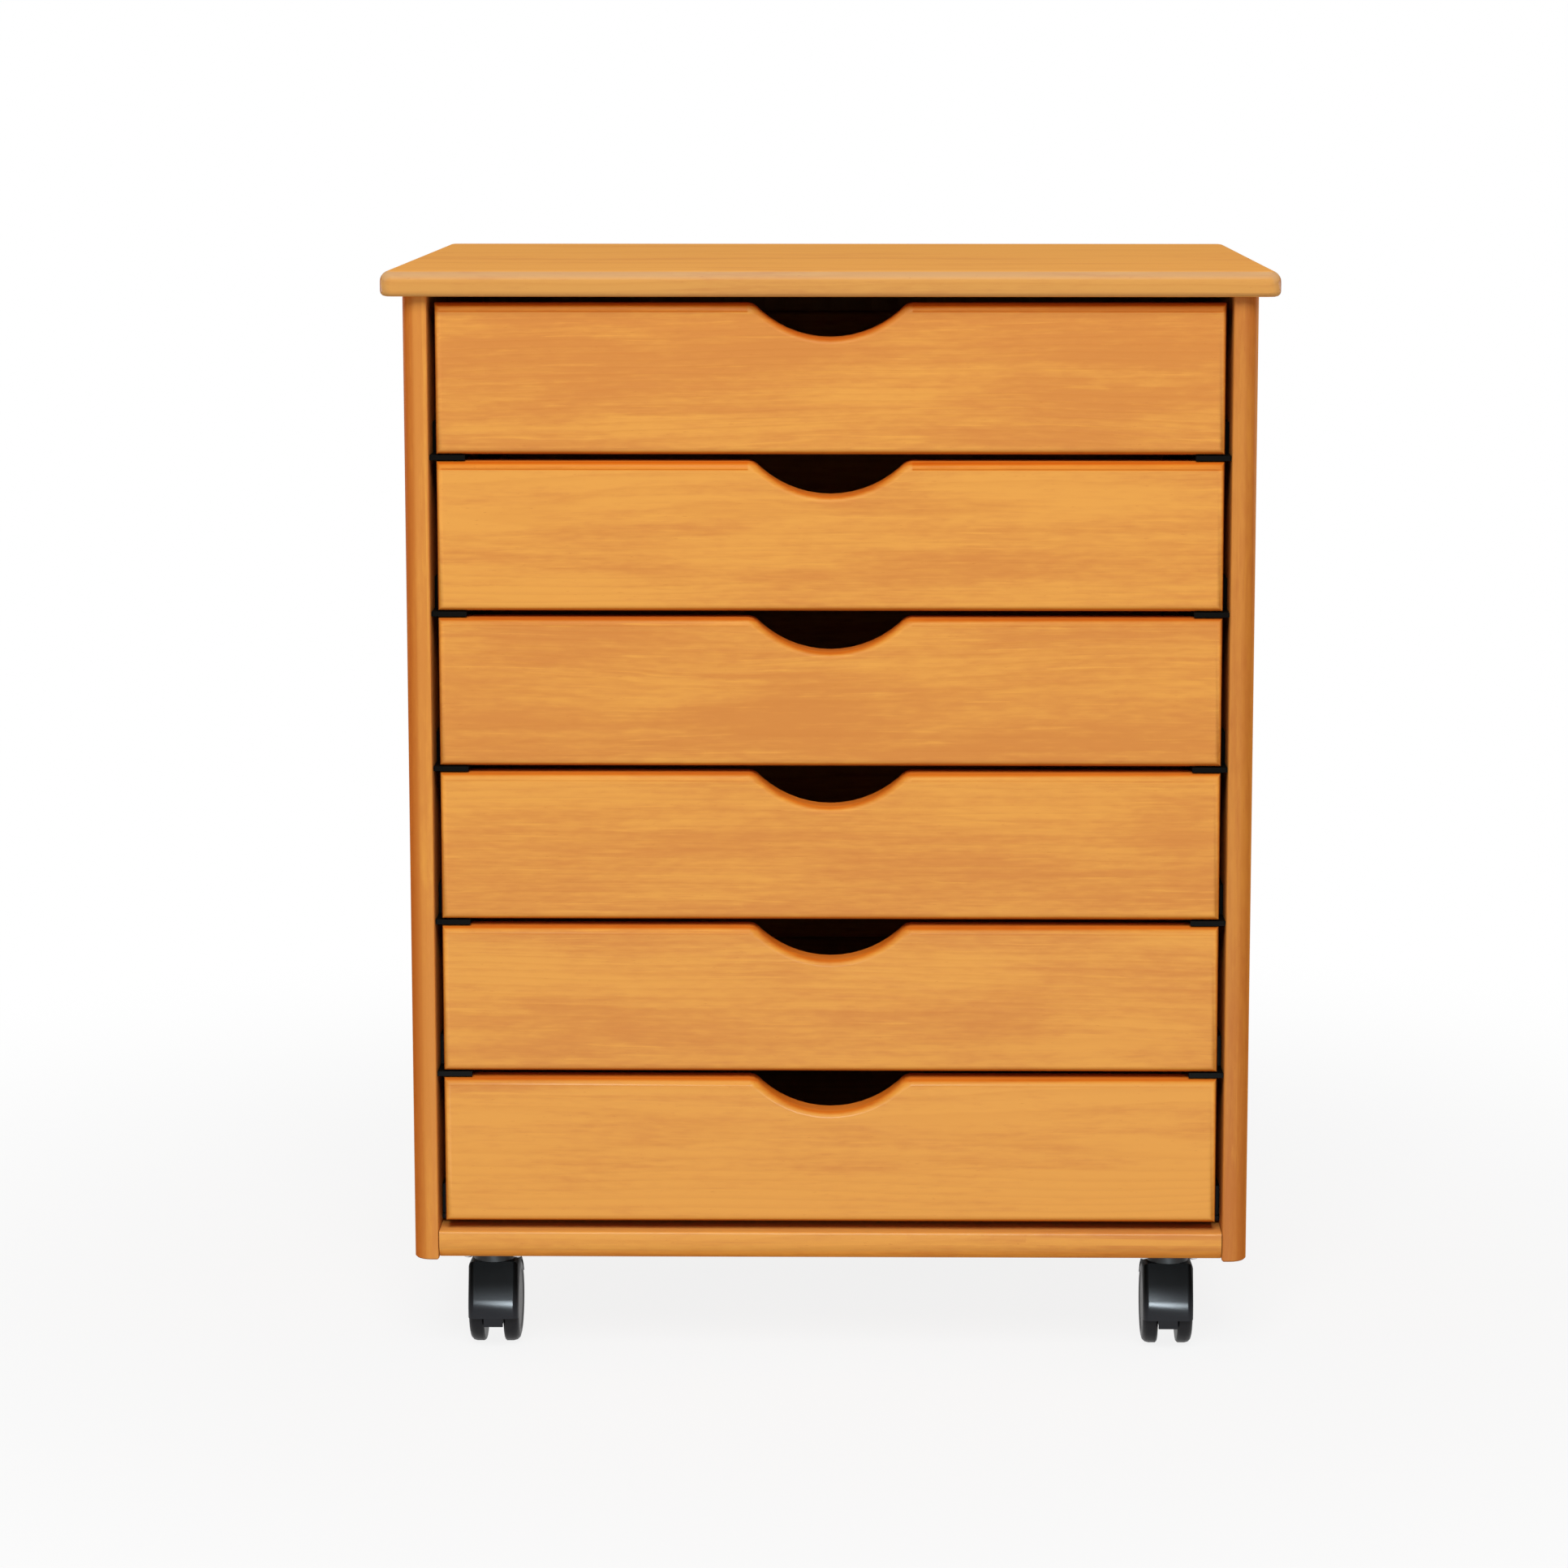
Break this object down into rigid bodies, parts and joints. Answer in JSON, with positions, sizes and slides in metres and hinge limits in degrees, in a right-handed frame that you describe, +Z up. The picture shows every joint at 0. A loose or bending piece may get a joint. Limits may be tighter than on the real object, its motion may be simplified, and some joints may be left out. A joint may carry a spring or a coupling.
{
  "type": "rolling drawer cart",
  "caption": "Wooden cart on casters: a stack of equal drawers with round finger grips, between side panels and under an overhanging flat top.",
  "frame": {"origin": "on the floor, under the middle of the top", "axes": "+Z up, the drawers open towards -Y, +X to the right seen from the front"},
  "size_m": [0.52, 0.391, 0.651],
  "materials": {
    "honey_pine": "honey-stained softwood under satin lacquer",
    "thin_panel": "thin plywood, thinly lacquered",
    "black_plastic": "moulded nylon, semi-gloss",
    "zinc_steel": "zinc plated",
    "black_steel": "pressed steel, black coated"
  },
  "bodies": {
    "root": {"top_panel": "honey_pine", "left_side_panel": "honey_pine", "right_side_panel": "honey_pine", "bottom_panel": "honey_pine", "back_panel": "thin_panel", "left_runner_frame": "black_plastic", "right_runner_frame": "black_plastic", "caster_front_left_plate": "black_steel", "caster_front_right_plate": "black_steel", "caster_rear_left_plate": "black_steel", "caster_rear_right_plate": "black_steel"},
    "drawer_1": {"drawer_1_front": "honey_pine", "drawer_1_left_side": "honey_pine", "drawer_1_right_side": "honey_pine", "drawer_1_back": "honey_pine", "drawer_1_bottom": "thin_panel"},
    "drawer_2": {"drawer_2_front": "honey_pine", "drawer_2_left_side": "honey_pine", "drawer_2_right_side": "honey_pine", "drawer_2_back": "honey_pine", "drawer_2_bottom": "thin_panel"},
    "drawer_3": {"drawer_3_front": "honey_pine", "drawer_3_left_side": "honey_pine", "drawer_3_right_side": "honey_pine", "drawer_3_back": "honey_pine", "drawer_3_bottom": "thin_panel"},
    "drawer_4": {"drawer_4_front": "honey_pine", "drawer_4_left_side": "honey_pine", "drawer_4_right_side": "honey_pine", "drawer_4_back": "honey_pine", "drawer_4_bottom": "thin_panel"},
    "drawer_5": {"drawer_5_front": "honey_pine", "drawer_5_left_side": "honey_pine", "drawer_5_right_side": "honey_pine", "drawer_5_back": "honey_pine", "drawer_5_bottom": "thin_panel"},
    "drawer_6": {"drawer_6_front": "honey_pine", "drawer_6_left_side": "honey_pine", "drawer_6_right_side": "honey_pine", "drawer_6_back": "honey_pine", "drawer_6_bottom": "thin_panel"},
    "caster_front_left": {"caster_front_left_hood": "black_plastic", "caster_front_left_axle": "zinc_steel"},
    "caster_front_left_wheel_left": {"caster_front_left_wheel_left": "black_plastic"},
    "caster_front_left_wheel_right": {"caster_front_left_wheel_right": "black_plastic"},
    "caster_front_right": {"caster_front_right_hood": "black_plastic", "caster_front_right_axle": "zinc_steel"},
    "caster_front_right_wheel_left": {"caster_front_right_wheel_left": "black_plastic"},
    "caster_front_right_wheel_right": {"caster_front_right_wheel_right": "black_plastic"},
    "caster_rear_left": {"caster_rear_left_hood": "black_plastic", "caster_rear_left_axle": "zinc_steel"},
    "caster_rear_left_wheel_left": {"caster_rear_left_wheel_left": "black_plastic"},
    "caster_rear_left_wheel_right": {"caster_rear_left_wheel_right": "black_plastic"},
    "caster_rear_right": {"caster_rear_right_hood": "black_plastic", "caster_rear_right_axle": "zinc_steel"},
    "caster_rear_right_wheel_left": {"caster_rear_right_wheel_left": "black_plastic"},
    "caster_rear_right_wheel_right": {"caster_rear_right_wheel_right": "black_plastic"}
  },
  "joints": [
    {"name": "drawer_1_slide", "type": "slide", "parent": "root", "child": "drawer_1", "axis": [0, -1, 0], "range_m": [0, 0.28]},
    {"name": "drawer_2_slide", "type": "slide", "parent": "root", "child": "drawer_2", "axis": [0, -1, 0], "range_m": [0, 0.28]},
    {"name": "drawer_3_slide", "type": "slide", "parent": "root", "child": "drawer_3", "axis": [0, -1, 0], "range_m": [0, 0.28]},
    {"name": "drawer_4_slide", "type": "slide", "parent": "root", "child": "drawer_4", "axis": [0, -1, 0], "range_m": [0, 0.28]},
    {"name": "drawer_5_slide", "type": "slide", "parent": "root", "child": "drawer_5", "axis": [0, -1, 0], "range_m": [0, 0.28]},
    {"name": "drawer_6_slide", "type": "slide", "parent": "root", "child": "drawer_6", "axis": [0, -1, 0], "range_m": [0, 0.28]},
    {"name": "caster_front_left_swivel", "type": "hinge", "parent": "root", "child": "caster_front_left", "pos_m": [-0.2033, -0.151, 0.05752], "axis": [0, 0, 1], "continuous": true},
    {"name": "caster_front_left_wheel_left_spin", "type": "hinge", "parent": "caster_front_left", "child": "caster_front_left_wheel_left", "pos_m": [-0.2033, -0.1405, 0.025], "axis": [1, 0, 0], "continuous": true},
    {"name": "caster_front_left_wheel_right_spin", "type": "hinge", "parent": "caster_front_left", "child": "caster_front_left_wheel_right", "pos_m": [-0.2033, -0.1405, 0.025], "axis": [1, 0, 0], "continuous": true},
    {"name": "caster_front_right_swivel", "type": "hinge", "parent": "root", "child": "caster_front_right", "pos_m": [0.2033, -0.151, 0.05752], "axis": [0, 0, 1], "continuous": true},
    {"name": "caster_front_right_wheel_left_spin", "type": "hinge", "parent": "caster_front_right", "child": "caster_front_right_wheel_left", "pos_m": [0.2033, -0.1405, 0.025], "axis": [1, 0, 0], "continuous": true},
    {"name": "caster_front_right_wheel_right_spin", "type": "hinge", "parent": "caster_front_right", "child": "caster_front_right_wheel_right", "pos_m": [0.2033, -0.1405, 0.025], "axis": [1, 0, 0], "continuous": true},
    {"name": "caster_rear_left_swivel", "type": "hinge", "parent": "root", "child": "caster_rear_left", "pos_m": [-0.2033, 0.1465, 0.05752], "axis": [0, 0, 1], "continuous": true},
    {"name": "caster_rear_left_wheel_left_spin", "type": "hinge", "parent": "caster_rear_left", "child": "caster_rear_left_wheel_left", "pos_m": [-0.2033, 0.157, 0.025], "axis": [1, 0, 0], "continuous": true},
    {"name": "caster_rear_left_wheel_right_spin", "type": "hinge", "parent": "caster_rear_left", "child": "caster_rear_left_wheel_right", "pos_m": [-0.2033, 0.157, 0.025], "axis": [1, 0, 0], "continuous": true},
    {"name": "caster_rear_right_swivel", "type": "hinge", "parent": "root", "child": "caster_rear_right", "pos_m": [0.2033, 0.1465, 0.05752], "axis": [0, 0, 1], "continuous": true},
    {"name": "caster_rear_right_wheel_left_spin", "type": "hinge", "parent": "caster_rear_right", "child": "caster_rear_right_wheel_left", "pos_m": [0.2033, 0.157, 0.025], "axis": [1, 0, 0], "continuous": true},
    {"name": "caster_rear_right_wheel_right_spin", "type": "hinge", "parent": "caster_rear_right", "child": "caster_rear_right_wheel_right", "pos_m": [0.2033, 0.157, 0.025], "axis": [1, 0, 0], "continuous": true}
  ]
}
